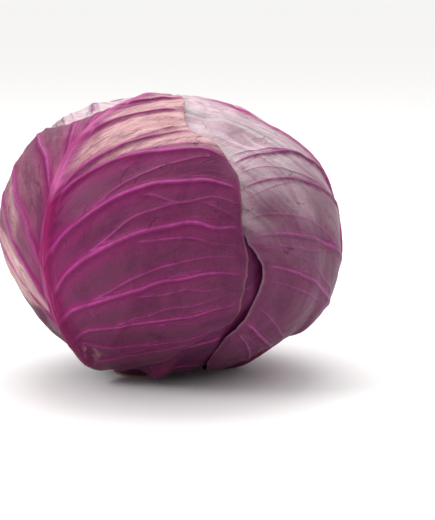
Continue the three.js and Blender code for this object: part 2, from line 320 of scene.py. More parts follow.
def heart_radius(d):
    """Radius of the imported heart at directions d, in the head's own frame."""
    lump = sum(size * np.sin(d @ np.array(k) + phase) for size, k, phase in LUMPS)
    half = np.where(d[:, 2] > 0, HEART_CROWN, HEART_FOOT)
    flat = (d[:, 0] ** 2 + d[:, 1] ** 2) / HEART_RADIUS**2 + d[:, 2] ** 2 / half**2
    slant = 4 * d[:, 2] ** 2 * (1 - d[:, 2] ** 2)
    shaped = (1 + np.where(d[:, 2] > 0, SHOULDER, -TAPER) * slant) / np.sqrt(flat)
    radius = shaped + lump * smooth(*LUMPS_FROM, d[:, 2])
    down = d @ DOWN
    ground = (CENTRE_HEIGHT - PRESSED_ROOM) / np.maximum(down, 0.05)
    return np.where(down > 0, soft_min(radius, ground, PRESSED_SOFTNESS), radius)


def by_side(leaf, across, value):
    """value(side) for the side that each point is on."""
    return np.where(across < 0, value(leaf.left), value(leaf.right))


def sway(leaf, angle):
    """How far a leaf's midrib lies to its right at an angle over the head."""
    return leaf.sway * np.cos(SWAY_WAVES * (angle - SWAY_CENTRE) * RAD)


def slope_at(side, station):
    """How steeply the side veins climb, in degrees of station for each degree across."""
    return side.slope + side.gain * (np.clip(station, STEEPER_FROM, STEEPER_TO) - STEEPER_FROM)


def run_up(side, reach):
    """How far the side veins run up along the midrib before they turn off it."""
    return side.run_up * (1 - np.exp(-reach / TURN))


def leaf_axes(leaf):
    """The directions out of a leaf's middle and to its right."""
    facing = leaf.facing * RAD
    outward = np.array([math.sin(facing), -math.cos(facing), 0.0])
    return outward, np.cross([0.0, 0.0, 1.0], outward)


def leaf_direction(leaf, station, across):
    """Directions from the head's centre to a leaf's points."""
    reach = np.abs(across)
    angle = by_side(leaf, across,
                    lambda side: station + run_up(side, reach) + slope_at(side, station) * reach)
    t = (across + sway(leaf, angle)) * RAD
    angle = angle * RAD
    outward, right = leaf_axes(leaf)
    rise = np.outer(np.sin(angle), outward) - np.outer(np.cos(angle), [0.0, 0.0, 1.0])
    return rise * np.cos(t)[:, None] + np.outer(np.sin(t), right)


def leaf_place(leaf, d):
    """A leaf's station and across at directions d: the way back from leaf_direction."""
    outward, right = leaf_axes(leaf)
    t = np.arcsin(np.clip(d @ right, -1, 1)) / RAD
    angle = np.arctan2(d @ outward, -d[:, 2]) / RAD
    angle = np.where(angle < LOWEST_ANGLE, angle + 360, angle)
    across = t - sway(leaf, angle)
    reach = np.abs(across)

    def station_on(side):
        low = angle - run_up(side, reach) - side.slope * reach
        steeper = (low + side.gain * STEEPER_FROM * reach) / (1 + side.gain * reach)
        beyond = low - side.gain * (STEEPER_TO - STEEPER_FROM) * reach
        return np.where(low < STEEPER_FROM, low, np.where(steeper < STEEPER_TO, steeper, beyond))

    return by_side(leaf, across, station_on), across


def margin(leaf, side, station):
    """Reach of the margin at a station, with the small lobes and nicks of its edge, which fade towards
    the base and the tip."""
    sign = 1 if side is leaf.right else -1
    lobes = 1.3 * noise(station / 9, 0.5 + 0 * station, leaf.seed * 7 + sign)
    nicks = 0.4 * noise(station / 2.2, 0.5 + 0 * station, leaf.seed * 11 + sign)
    first, last = side.outline[0][0], side.outline[-1][0]
    whole = smooth(first, first + 12, station) * (1 - smooth(last - 45, last - 12, station))
    return along(side.outline, station) + (lobes + nicks) * whole


def inside(leaf, station, across):
    """How far inside its outline a leaf's point is, in degrees; negative outside."""
    reach = by_side(leaf, across, lambda side: margin(leaf, side, station)) - np.abs(across)
    first, last = leaf.left.outline[0][0], leaf.left.outline[-1][0]
    return np.minimum(reach, np.minimum(station - first, last - station))


def cover_of(leaf, d, reach):
    """1 where a leaf covers the directions d, fading to 0 at a reach past its margin."""
    return smooth(-reach, 0, inside(leaf, *leaf_place(leaf, d)))


def vein_lines(leaf, sign):
    """The side veins of one side and four forks of each: the station where the vein starts and its drift
    in station, then the reach where the fork leaves it, the fork's own climb, and its strength."""
    rng = np.random.default_rng(leaf.seed * 10 + (sign > 0))
    veins = (leaf.right if sign > 0 else leaf.left).veins
    lines = []
    for (start, drift), (following, _) in zip(veins, veins[1:] + [(veins[-1][0] + 16, 0)]):
        gap = max(6, following - start)
        lines.append((start, drift, 0.0, 0.0, 1.0))
        lines.append((start, drift, rng.uniform(12, 20), gap * rng.uniform(0.45, 0.65), 0.5))
        lines.append((start, drift, rng.uniform(22, 30), -gap * rng.uniform(0.4, 0.6), 0.45))
        lines.append((start, drift, rng.uniform(5, 11), -gap * rng.uniform(0.25, 0.4), 0.22))
        lines.append((start, drift, rng.uniform(30, 40), gap * rng.uniform(0.3, 0.5), 0.3))
    return lines


def ribs(leaf, station, across, vein_height, spread=1.0):
    """Height in millimetres of the ribs over the blade, and what the finish reads of them: how much the
    nearest side vein swells the skin, the flush beside it, how far off its crest lies, in half widths of
    the vein and positive above it, and the midrib. A larger spread gives the soft shape, without forks,
    that a leaf above shows."""
    reach = np.abs(across)
    width = along(MIDRIB_WIDTH, station) * spread
    midrib = np.exp(-((reach * MM_PER_DEGREE / width) ** 3))
    narrow = np.cos(reach * RAD)
    swelling, beside, hollow = np.zeros((3, len(station)))
    off = np.full(len(station), 9.0)
    for sign, side in ((-1, leaf.left), (1, leaf.right)):
        turning = side.run_up / TURN * np.exp(-reach / TURN) + slope_at(side, station)
        scale = MM_PER_DEGREE * narrow * (1 + side.gain * reach)
        here = np.sign(across) == sign
        for start, drift, forks, climb, strength in vein_lines(leaf, sign):
            if forks and spread > 1:
                continue
            # The line of the vein wanders, drifts and, past its fork, climbs
            beyond = np.maximum(0, reach - forks)
            wander = 0.8 * noise(reach / 11, 0.5 + 0 * reach, start) * smooth(4, 14, reach)
            wander += 0.9 * noise(beyond / 8, 0.5 + 0 * reach, start + forks) * smooth(0, 12, beyond)
            line = start + wander + drift * (1 - np.exp(-reach / 20))
            line = line + climb * (1 - np.exp(-beyond / 25))
            steep = turning + drift / 20 * np.exp(-reach / 20)
            away = (station - line) * scale / np.hypot(1, steep * narrow) / spread
            pulse = 0.85 + 0.15 * noise(reach / 7, 0.5 + 0 * reach, start + 3)
            fade = np.sqrt(np.clip(1 - reach / VEIN_FADE, 0, 1)) * strength * pulse * here
            if forks:
                fade = fade * smooth(0, 2, beyond)
            # It is steeper above than below, with a shallow hollow on either side
            near = fade * np.exp(-((away / np.where(away > 0, 1.9, 3.2)) ** 2))
            half_width = 0.4 + 0.75 * fade
            off = np.where(near > swelling, away / half_width, off)
            swelling = np.maximum(swelling, near)
            beside = np.maximum(beside, fade * np.exp(-((away / np.where(away > 0, 3.5, 6)) ** 2)))
            hollow = np.maximum(hollow, fade * np.exp(-(((away + 5.5) / 2.6) ** 2)))
            hollow = np.maximum(hollow, fade * np.exp(-(((away - 3.0) / 1.3) ** 2)))

    # The ribs start a little above the base and get lower away from the midrib
    crest = swelling * np.exp(-((off / 1.7) ** 2))
    grown = smooth(*RIBS_FROM, station)
    low = 0.35 + 0.65 * np.exp(-reach / 30)
    height = vein_height * 0.5 * (crest + swelling) - HOLLOW_DEPTH * hollow * (1 - swelling)
    height = height * low * (1 - midrib)
    height = np.maximum(height, along(MIDRIB_HEIGHT, station) * midrib)
    return height * grown, {"swelling": swelling * grown, "beside": beside * grown, "off": off,
                            "midrib": midrib * grown}


def leaf_shape(index, sizes, d, station, across):
    """Inner and outer radius of a leaf's blade at its points, and what its finish reads."""
    leaf = LEAVES[index]
    vein_height = sizes.vein_height / MM

    # The leaves beneath lift the blade and their ribs show through it; those above press it flat
    beneath, ghost = np.zeros((2, len(d)))
    for other in LEAVES[:index]:
        there = leaf_place(other, d)
        beneath += smooth(-DRAPE, 0, inside(other, *there)) * (BLADE + LEAF_GAP)
        within = smooth(0, 8, inside(other, *there))
        ghost = np.maximum(ghost, GHOST * ribs(other, *there, vein_height, spread=1.9)[0] * within)
    free = np.ones(len(d))
    for other in LEAVES[index + 1:]:
        free *= 1 - cover_of(other, d, PRESSED)

    # The margin's waves, and smaller frills
    edge = np.maximum(0, inside(leaf, station, across))
    ripple = free * (0.5 + 0.5 * np.sin(LOBE_WAVES * station * RAD + leaf.wave))
    near = 1 - smooth(0, LIFT_REACH, edge)
    waved = smooth(*LOBES_FROM, station) * (1 - smooth(*LOBES_TO, station))
    lift = (sizes.margin_lift / MM * ripple * waved - MARGIN_DROP * (1 - ripple * waved)) * near
    frill = 0.5 * noise(station / 3.1, 0.5 + 0 * station, leaf.seed + 40) * (1 - smooth(0, 4, edge))

    # The blade swells and puckers, and wrinkles where it is pale over the crown. The paleness is partly
    # the skin's own and partly painted highlight on the top of the head and on the front leaf's left
    # side.
    x, y = across * MM_PER_DEGREE, station * MM_PER_DEGREE
    swell = 0.6 * noise(x / 26, y / 26, leaf.seed + 20) + 0.4 * noise(x / 11, y / 9, leaf.seed + 30)
    pale_and_painted_highlight = leaf.pale_and_painted_highlight(station, across)
    cloudy = noise(x / 17, y / 13, leaf.seed + 90) + 0.6 * noise(x / 8, y / 6, leaf.seed + 95)
    pale_and_painted_highlight = np.clip(pale_and_painted_highlight + 0.8 * pale_and_painted_highlight * (1 - pale_and_painted_highlight) * cloudy, 0, 1)
    pleats = 0.1 * noise(x / 16, y / 2.8, leaf.seed + 50)
    pleats = pleats + 0.06 * noise(x / 3.5, y / 3.5, leaf.seed + 60)
    if leaf.skin == "crown":
        bent = x + 5 * noise(x / 20, y / 20, leaf.seed + 70)
        depth = sizes.wrinkle_depth / MM * pale_and_painted_highlight
        pleats = pleats + depth * noise(bent / 7, y / 45, leaf.seed + 80)
    height, masks = ribs(leaf, station, across, vein_height)

    # The blade thins towards its margin
    full = smooth(0, THIN_REACH, edge)
    inner = heart_radius(d) + LEAF_GAP + beneath + ghost + lift + (swell + frill + FREE_ROOM) * free
    outer = inner + mix(MARGIN_BLADE, BLADE, full) + (height * full + pleats) * free
    masks["swelling"] *= full * free
    masks["midrib"] *= full * free
    masks["beside"] *= free
    # The paleness mask for the finish: partly pale skin, partly painted highlight
    masks["pale_and_painted_highlight"] = pale_and_painted_highlight
    masks["flushed"] = np.exp(-np.abs(across) / 16)
    # Painted shade: the skin is darker towards the bottom of the head
    masks["low"] = 1 - smooth(-0.9, -0.3, d[:, 2])
    masks["rim"] = 1 - smooth(0, 1.0, edge)
    return inner, outer, masks


def to_scene(points, lowest):
    """Points of the head's own frame in millimetres as scene points in metres, none below a lowest
    level over the floor."""
    turn = np.array(Matrix.Rotation(LEAN * RAD, 3, "Y"))
    centre = np.array([CENTRE_HEIGHT * math.tan(LEAN * RAD), 0.0, CENTRE_HEIGHT])
    placed = points @ turn.T + centre
    placed[:, 2] = np.maximum(placed[:, 2], lowest)
    return placed * MM


def closed_sheet(rows, columns):
    """A mesh of two grids, one unit apart, joined round their edge."""
    bm = bmesh.new()
    bmesh.ops.create_grid(bm, x_segments=columns, y_segments=rows, size=1.0)
    made = bmesh.ops.extrude_face_region(bm, geom=bm.faces[:], use_keep_orig=True)
    lower = [part for part in made["geom"] if isinstance(part, bmesh.types.BMVert)]
    bmesh.ops.translate(bm, verts=lower, vec=(0.0, 0.0, -1.0))
    bmesh.ops.recalc_face_normals(bm, faces=bm.faces[:])
    return bm


def finished(name, bm):
    """A smooth-shaded object at the origin from a bmesh."""
    mesh = bpy.data.meshes.new(name)
    bm.to_mesh(mesh)
    bm.free()
    mesh.shade_smooth()
    piece = bpy.data.objects.new(name, mesh)
    bpy.context.scene.collection.objects.link(piece)
    return piece


def points_of(mesh):
    """A mesh's points as rows of three numbers."""
    flat = np.empty(len(mesh.vertices) * 3, np.float32)
    mesh.vertices.foreach_get("co", flat)
    return flat.reshape(-1, 3).astype(float)


def place_points(mesh, points):
    """Moves a mesh's points to rows of three numbers."""
    mesh.vertices.foreach_set("co", points.astype(np.float32).ravel())
    mesh.update()


def store(mesh, name, values):
    """Keeps a number or a vector for each vertex, for the finish to read."""
    kind, field = ("FLOAT_VECTOR", "vector") if np.ndim(values) == 2 else ("FLOAT", "value")
    kept = mesh.attributes.new(name, kind, "POINT")
    kept.data.foreach_set(field, values.astype(np.float32).ravel())


def build_leaf(index, sizes):
    """One wrapper leaf: a closed blade from a grid, shaped by the leaf's plan."""
    leaf = LEAVES[index]
    piece = finished(leaf.name + "_blade", closed_sheet(*leaf.grid))
    u, v, layer = points_of(piece.data).T
    first, last = leaf.left.outline[0][0], leaf.left.outline[-1][0]
    station = mix(first, last, (v + 1) / 2)
    share = np.sign(u) * np.abs(u) ** CROWDING
    across = share * by_side(leaf, u, lambda side: margin(leaf, side, station))
    d = leaf_direction(leaf, station, across)
    inner, outer, masks = leaf_shape(index, sizes, d, station, across)
    is_inner = layer < -0.5
    radius = np.where(is_inner, inner, outer)
    lowest = np.where(is_inner, INNER_SKIN_LEVEL, OUTER_SKIN_LEVEL)
    place_points(piece.data, to_scene(d * radius[:, None], lowest))
    for name, values in masks.items():
        store(piece.data, name, values)
    place = np.column_stack([across, station, 0 * station + leaf.seed])
    store(piece.data, "place", place * MM_PER_DEGREE)
    return piece


def linear(hex_colour):
    """An sRGB hex colour as linear red, green, blue and alpha."""
    parts = [int(hex_colour[i:i + 2], 16) / 255 for i in (1, 3, 5)]
    return [p / 12.92 if p <= 0.04045 else ((p + 0.055) / 1.055) ** 2.4 for p in parts] + [1.0]


def node(tree, kind, inputs=None, **settings):
    """Adds a shader node. Its inputs are given by name or number, each as a value or a socket to link."""
    made = tree.nodes.new("ShaderNode" + kind)
    for key, value in settings.items():
        setattr(made, key, value)
    for key, value in (inputs or {}).items():
        if isinstance(value, bpy.types.NodeSocket):
            tree.links.new(value, made.inputs[key])
        else:
            made.inputs[key].default_value = value
    return made


def new_material(name):
    """A material with an empty node tree."""
    made = bpy.data.materials.new(name)
    made.use_nodes = True
    made.node_tree.nodes.clear()
    return made


# Socket numbers of a colour Mix node
A, B, RESULT = 6, 7, 2


def colour_property(name, description, hex_colour):
    """A colour that a user can change."""
    return bpy.props.FloatVectorProperty(name=name, description=description, size=4, min=0, max=1,
                                         default=linear(hex_colour), subtype="COLOR")


def length_property(name, description, millimetres):
    """A length that a user can change."""
    return bpy.props.FloatProperty(name=name, description=description, min=0,
                                   default=millimetres * MM, unit="LENGTH")


class LeafSizes(bpy.types.PropertyGroup):
    """Sizes of the fine shape of the wrapper leaves."""

    vein_height: length_property("Vein height", "Height of the side veins beside the midrib", 1.7)
    margin_lift: length_property("Margin lift", "Height of the waves along the margins", 2.2)
    wrinkle_depth: length_property("Wrinkle depth", "Depth of the wrinkles over the crown", 0.9)


class FrontLeafColours(bpy.types.PropertyGroup):
    """Colours of the outermost leaf."""

    deep: colour_property("Deep", "Darkest clouds in the panels", "#48183a")
    panel: colour_property("Panel", "Panels between the veins", "#5a2643")
    flush: colour_property("Flush", "Skin beside the ribs", "#84145c")
    vein: colour_property("Vein", "Lower flank of the side veins", "#861868")
    # Painted highlight along the upper edge of each side vein
    vein_highlight: colour_property("Vein edge", "Upper edge of the side veins", "#aa448c")
    midrib: colour_property("Midrib", "Midrib", "#820850")
    midrib_light: colour_property("Midrib fibres", "Light fibres in the midrib", "#cc6cac")
    # Pale dusty skin, also used as painted highlight on the top and the left side
    pale_and_painted_highlight: colour_property("Pale skin and painted highlight", "Where the light has bleached the skin", "#c89e9e")
    dull: colour_property("Dull streaks", "Streaks in the bleached skin", "#a06c76")
    # Painted shade: the dark of the creases, of the lower side of the side veins and of the lower part of
    # the head
    painted_shade: colour_property("Crease", "Creases and the shaded side of the veins", "#48082e")


class CrownLeafColours(bpy.types.PropertyGroup):
    """Colours of the two leaves that cover the crown, the palest."""

    deep: colour_property("Deep", "Darkest clouds in the panels", "#481236")
    panel: colour_property("Panel", "Panels between the veins", "#612a4a")
    flush: colour_property("Flush", "Skin beside the ribs", "#781a58")
    vein: colour_property("Vein", "Lower flank of the side veins", "#82266c")
    # Painted highlight along the upper edge of each side vein
    vein_highlight: colour_property("Vein edge", "Upper edge of the side veins", "#a85490")
    midrib: colour_property("Midrib", "Midrib", "#860f54")
    midrib_light: colour_property("Midrib fibres", "Light fibres in the midrib", "#a83c7c")
    # Pale dusty skin, also used as painted highlight towards the top
    pale_and_painted_highlight: colour_property("Pale skin and painted highlight", "Where the light has bleached the skin", "#d2b8c1")
    dull: colour_property("Dull streaks", "Streaks in the bleached skin", "#94898a")
    # Painted shade: the dark of the creases, of the lower side of the side veins and of the lower part of
    # the head
    painted_shade: colour_property("Crease", "Creases and the shaded side of the veins", "#4c1434")


class InnerLeafColours(bpy.types.PropertyGroup):
    """Colours of the leaves beneath, which had little light."""

    deep: colour_property("Deep", "Darkest clouds in the panels", "#300a24")
    panel: colour_property("Panel", "Panels between the veins", "#5c1c46")
    flush: colour_property("Flush", "Skin beside the ribs", "#6c1450")
    vein: colour_property("Vein", "Lower flank of the side veins", "#7c2060")
    # Painted highlight along the upper edge of each side vein
    vein_highlight: colour_property("Vein edge", "Upper edge of the side veins", "#a84c88")
    midrib: colour_property("Midrib", "Midrib", "#821c58")
    midrib_light: colour_property("Midrib fibres", "Light fibres in the midrib", "#a84880")
    # Pale skin, also used as painted highlight on the tips towards the top
    pale_and_painted_highlight: colour_property("Pale skin and painted highlight", "Where the light has bleached the skin", "#b48c9a")
    dull: colour_property("Dull streaks", "Streaks in the bleached skin", "#84505f")
    # Painted shade: the dark of the creases, of the lower side of the side veins and of the lower part of
    # the head
    painted_shade: colour_property("Crease", "Creases and the shaded side of the veins", "#2c0620")


def skin_patterns(add, place):
    """The patterns of the skin, laid over the leaf in millimetres: clouds in the panels, blotches, a fine
    mottle, streaks that follow the side veins, fibres that follow the midrib and long wavy wrinkles."""
    clouds = add("TexNoise", {"Vector": place, "Scale": 1 / CLOUD, "Detail": 5, "Roughness": 0.6})
    clouds = add("MapRange", {"Value": clouds.outputs["Fac"], "From Min": 0.22, "From Max": 0.52})
    blotches = add("TexNoise", {"Vector": place, "Scale": 1 / BLOTCH, "Detail": 4, "Roughness": 0.65})
    mottle = add("TexNoise", {"Vector": place, "Scale": 1 / MOTTLE, "Detail": 3, "Roughness": 0.6})

    crosswise = add("VectorMath", {0: place, 1: (1 / STREAK[0], 1 / STREAK[1], 1)},
                    operation="MULTIPLY")
    streaks = add("TexNoise", {"Vector": crosswise.outputs[0], "Scale": 1, "Detail": 5,
                               "Roughness": 0.6})
    lengthwise = add("VectorMath", {0: place, 1: (1 / FIBRE[0], 1 / FIBRE[1], 1)},
                     operation="MULTIPLY")
    fibres = add("TexNoise", {"Vector": lengthwise.outputs[0], "Scale": 1, "Detail": 4})

    bend = add("TexNoise", {"Vector": place, "Scale": 1 / WRINKLE_BEND, "Detail": 1})
    wavy = add("VectorMath", {0: bend.outputs["Color"], 1: (WRINKLE_SWING, 0, 0), 2: place},
               operation="MULTIPLY_ADD")
    wavy = add("VectorMath", {0: wavy.outputs[0], 1: (1 / WRINKLE[0], 1 / WRINKLE[1], 1)},
               operation="MULTIPLY")
    wrinkles = add("TexNoise", {"Vector": wavy.outputs[0], "Scale": 1, "Detail": 2, "Roughness": 0.5})
    return (clouds.outputs["Result"], blotches.outputs["Fac"], mottle.outputs["Fac"],
            streaks.outputs["Fac"], fibres.outputs["Fac"], wrinkles.outputs["Fac"])


def skin_creases(add, place):
    """Sparse fine creases: the borders of bent cells, shown only here and there."""
    bend = add("TexNoise", {"Vector": place, "Scale": 1 / CREASE_BEND, "Detail": 3})
    swing = (CREASE_SWING, CREASE_SWING, 0)
    bent = add("VectorMath", {0: bend.outputs["Color"], 1: swing, 2: place},
               operation="MULTIPLY_ADD")
    cells = add("TexVoronoi", {"Vector": bent.outputs[0], "Scale": 1 / CREASE_CELL},
                feature="DISTANCE_TO_EDGE")
    line = add("MapRange", {"Value": cells.outputs["Distance"], "From Min": 0, "From Max": 0.022,
                            "To Min": 1, "To Max": 0}, interpolation_type="SMOOTHSTEP")
    somewhere = add("TexNoise", {"Vector": place, "Scale": 1 / CREASED_PATCH, "Detail": 1})
    somewhere = add("MapRange", {"Value": somewhere.outputs["Fac"], "From Min": 0.55,
                                 "From Max": 0.63}, interpolation_type="SMOOTHSTEP")
    creases = add("Math", {0: line.outputs["Result"], 1: somewhere.outputs["Result"]},
                  operation="MULTIPLY")
    return creases.outputs[0]


def vein_bands(add, off, swelling):
    """The crest of each side vein, about two half widths across, and the shaded band along its lower
    side. They are finer than the mesh, so they come from the distance to the vein's line."""
    distance = add("Math", {0: off}, operation="ABSOLUTE")
    strong = add("MapRange", {"Value": swelling, "From Min": 0.08, "From Max": 0.45})
    crest = add("MapRange", {"Value": distance.outputs[0], "From Min": 0.3, "From Max": 1.35,
                             "To Min": 1, "To Max": 0}, interpolation_type="SMOOTHSTEP")
    crest = add("Math", {0: crest.outputs["Result"], 1: strong.outputs["Result"]},
                operation="MULTIPLY")
    under = add("MapRange", {"Value": off, "From Min": -4.5, "From Max": -1.2},
                interpolation_type="SMOOTHSTEP")
    over = add("MapRange", {"Value": off, "From Min": -1.2, "From Max": -0.3,
                            "To Min": 1, "To Max": 0}, interpolation_type="SMOOTHSTEP")
    shaded = add("Math", {0: under.outputs["Result"], 1: over.outputs["Result"]},
                 operation="MULTIPLY")
    shaded = add("Math", {0: shaded.outputs[0], 1: strong.outputs["Result"]}, operation="MULTIPLY")
    return crest.outputs[0], shaded.outputs[0]


def pale_and_highlight_share(add, pale_and_painted_highlight, beside, grain, patches, blotches, least):
    """How far the skin is painted pale, partly its own pale skin and partly painted highlight: it keeps
    its colour beside the veins and in some streaks and blotches, and pales by the least share elsewhere."""
    kept = add("Math", {0: grain, 1: patches}, operation="ADD")
    kept = add("MapRange", {"Value": kept.outputs[0], "From Min": 0.8, "From Max": 1.08,
                            "To Min": least, "To Max": 1.1})
    pale_highlight_share = add("Math", {0: pale_and_painted_highlight, 1: kept.outputs["Result"]}, operation="MULTIPLY",
                use_clamp=True)
    plain = add("Math", {0: beside, 1: blotches}, operation="MULTIPLY")
    plain = add("MapRange", {"Value": plain.outputs[0], "From Min": 0.18, "From Max": 0.42,
                             "To Min": 1, "To Max": 0.1}, interpolation_type="SMOOTHSTEP")
    pale_highlight_share = add("Math", {0: pale_highlight_share.outputs[0], 1: plain.outputs["Result"]}, operation="MULTIPLY")
    return pale_highlight_share.outputs[0]


def leaf_skin(name, tones, wrinkled=False):
    """Waxy cabbage leaf: a smooth living skin, whose wax makes its highlights wide and soft. The ribs are
    fleshier and more saturated than the panels, with a painted highlight along their upper edge and
    painted shade along their lower side; the panels are clouded and pale in places, partly their own pale
    skin and partly painted highlight, and painted shade darkens their creases and the lower part of the
    head."""
    material = new_material(name)
    add = partial(node, material.node_tree)
    place = add("Attribute", attribute_name="place").outputs["Vector"]
    swelling = add("Attribute", attribute_name="swelling").outputs["Fac"]
    off = add("Attribute", attribute_name="off").outputs["Fac"]
    midrib = add("Attribute", attribute_name="midrib").outputs["Fac"]
    pale_and_painted_highlight = add("Attribute", attribute_name="pale_and_painted_highlight").outputs["Fac"]
    beside = add("Attribute", attribute_name="beside").outputs["Fac"]
    flushed = add("Attribute", attribute_name="flushed").outputs["Fac"]
    low = add("Attribute", attribute_name="low").outputs["Fac"]
    rim = add("Attribute", attribute_name="rim").outputs["Fac"]
    clouds, blotches, mottle, streaks, fibres, wrinkles = skin_patterns(add, place)
    creases = skin_creases(add, place)
    crest, shaded = vein_bands(add, off, swelling)
    grain = wrinkles if wrinkled else streaks

    # The panels, flushed beside the ribs and pale where the mask says: partly their own pale skin and
    # partly painted highlight on the top of the head and on the front leaf's left side
    panel = add("Mix", {0: clouds, A: tones.deep, B: tones.panel}, data_type="RGBA")
    near_rib = add("Math", {0: flushed, 1: 0.4, 2: beside}, operation="MULTIPLY_ADD", use_clamp=True)
    near_rib = add("Math", {0: near_rib.outputs[0], 1: 0.9}, operation="MULTIPLY")
    skin = add("Mix", {0: near_rib.outputs[0], A: panel.outputs[RESULT], B: tones.flush},
               data_type="RGBA")
    patches = grain if wrinkled else blotches
    pale_highlight_share = pale_and_highlight_share(add, pale_and_painted_highlight, beside, grain, patches, blotches, 0.62 if wrinkled else 0.4)
    dulled = add("MapRange", {"Value": grain, "From Min": 0.45, "From Max": 0.72})
    pale = add("Mix", {0: dulled.outputs["Result"], A: tones.pale_and_painted_highlight, B: tones.dull},
               data_type="RGBA")
    skin = add("Mix", {0: pale_highlight_share, A: skin.outputs[RESULT], B: pale.outputs[RESULT]}, data_type="RGBA")

    # Painted shade in the creases and along the lower side of each side vein, and a painted highlight
    # along each vein's upper edge
    dark = add("Math", {0: shaded, 1: 0.45}, operation="MULTIPLY")
    dark = add("Math", {0: creases, 1: 0.6, 2: dark.outputs[0]}, operation="MULTIPLY_ADD")
    skin = add("Mix", {0: dark.outputs[0], A: skin.outputs[RESULT], B: tones.painted_shade},
               data_type="RGBA")
    # The vein's ridge runs from its own colour on the lower flank to a painted highlight on the upper
    # edge
    lit = add("MapRange", {"Value": off, "From Min": -0.6, "From Max": 0.6})
    ridge = add("Mix", {0: lit.outputs["Result"], A: tones.vein, B: tones.vein_highlight},
                data_type="RGBA")
    crest_share = add("Math", {0: crest, 1: blotches}, operation="MULTIPLY")
    crest_share = add("Math", {0: crest_share.outputs[0], 1: 1.3}, operation="MULTIPLY")
    skin = add("Mix", {0: crest_share.outputs[0], A: skin.outputs[RESULT], B: ridge.outputs[RESULT]},
               data_type="RGBA")

    # The midrib with its light fibres, lighter still under the paleness mask, partly painted highlight;
    # the drying rim; and painted shade that darkens the lower part of the head
    light = add("MapRange", {"Value": fibres, "From Min": 0.52, "From Max": 0.95})
    light = add("Math", {0: pale_and_painted_highlight, 1: 0.9, 2: light.outputs["Result"]},
                operation="MULTIPLY_ADD", use_clamp=True)
    rib = add("Mix", {0: light.outputs[0], A: tones.midrib, B: tones.midrib_light}, data_type="RGBA")
    skin = add("Mix", {0: midrib, A: skin.outputs[RESULT], B: rib.outputs[RESULT]}, data_type="RGBA")
    dry = add("Math", {0: rim, 1: clouds}, operation="MULTIPLY")
    dry = add("Math", {0: dry.outputs[0], 1: 0.2}, operation="MULTIPLY")
    skin = add("Mix", {0: dry.outputs[0], A: skin.outputs[RESULT], B: tones.pale_and_painted_highlight},
               data_type="RGBA")
    underside_shade = add("Math", {0: low, 1: 0.6}, operation="MULTIPLY")
    skin = add("Mix", {0: underside_shade.outputs[0], A: skin.outputs[RESULT], B: tones.painted_shade},
               data_type="RGBA")
    for grains in (mottle, blotches):
        skin = add("Mix", {0: 0.3, A: skin.outputs[RESULT], B: grains}, data_type="RGBA",
                   blend_type="OVERLAY")

    # Relief in millimetres
    relief = add("Math", {0: mottle, 1: 0.12}, operation="MULTIPLY")
    ruffled = add("Math", {0: grain, 1: pale_highlight_share}, operation="MULTIPLY")
    for part, height in ((blotches, 0.35), (grain, 0.35), (creases, -0.2), (crest, 0.3),
                         (ruffled.outputs[0], 0.3)):
        relief = add("Math", {0: part, 1: height, 2: relief.outputs[0]}, operation="MULTIPLY_ADD")
    bump = add("Bump", {"Height": relief.outputs[0], "Distance": MM, "Strength": 0.9})
    rough = add("MapRange", {"Value": blotches, "From Min": 0.3, "From Max": 0.7,
                             "To Min": 0.36, "To Max": 0.54})
    shader = add("BsdfPrincipled", {
        "Base Color": skin.outputs[RESULT],
        "Roughness": rough.outputs["Result"],
        "Normal": bump.outputs[0],
        "IOR": 1.4,
        "Specular IOR Level": 0.25,
    })
    add("OutputMaterial", {"Surface": shader.outputs[0]})
    return material


def stalk_flesh():
    """Cut cabbage stalk: pale moist pith with fine fibres, so it is dull, and a browner woody ring round
    it. Above the cut the stalk has the purple skin of the leaves."""
    material = new_material("cut_stalk_pith")
    add = partial(node, material.node_tree)
    place = add("TexCoord").outputs["Object"]
    flat = add("VectorMath", {0: place, 1: (1 / MM, 1 / MM, 0)}, operation="MULTIPLY")
    out = add("VectorMath", {0: flat.outputs[0]}, operation="LENGTH")
    ring = add("MapRange", {"Value": out.outputs["Value"], "From Min": PITH_RADIUS,
                            "From Max": RING_RADIUS}, interpolation_type="SMOOTHSTEP")
    fibres = add("TexNoise", {"Vector": place, "Scale": STALK_FIBRES, "Detail": 5, "Roughness": 0.7})
    pith = add("Mix", {0: fibres.outputs["Fac"], A: linear("#d9cfae"), B: linear("#f2ecda")},
               data_type="RGBA")
    rim = add("Mix", {0: fibres.outputs["Fac"], A: linear("#b79a78"), B: linear("#d8b9b4")},
              data_type="RGBA")
    cut = add("Mix", {0: ring.outputs["Result"], A: pith.outputs[RESULT], B: rim.outputs[RESULT]},
              data_type="RGBA")
    height = add("SeparateXYZ", {0: place}).outputs["Z"]
    side = add("MapRange", {"Value": height, "From Min": 0.1 * MM, "From Max": 1.5 * MM})
    colour = add("Mix", {0: side.outputs["Result"], A: cut.outputs[RESULT], B: linear("#56203f")},
                 data_type="RGBA")
    bump = add("Bump", {"Height": fibres.outputs["Fac"], "Distance": 0.4 * MM, "Strength": 1.0})
    shader = add("BsdfPrincipled", {
        "Base Color": colour.outputs[RESULT],
        "Roughness": 0.7,
        "Normal": bump.outputs[0],
        "IOR": 1.45,
    })
    add("OutputMaterial", {"Surface": shader.outputs[0]})
    return material


def dress(piece, material, cad_node):
    """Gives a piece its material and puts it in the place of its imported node."""
    piece.data.materials.append(material)
    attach(piece, "root")
    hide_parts(cad_node)


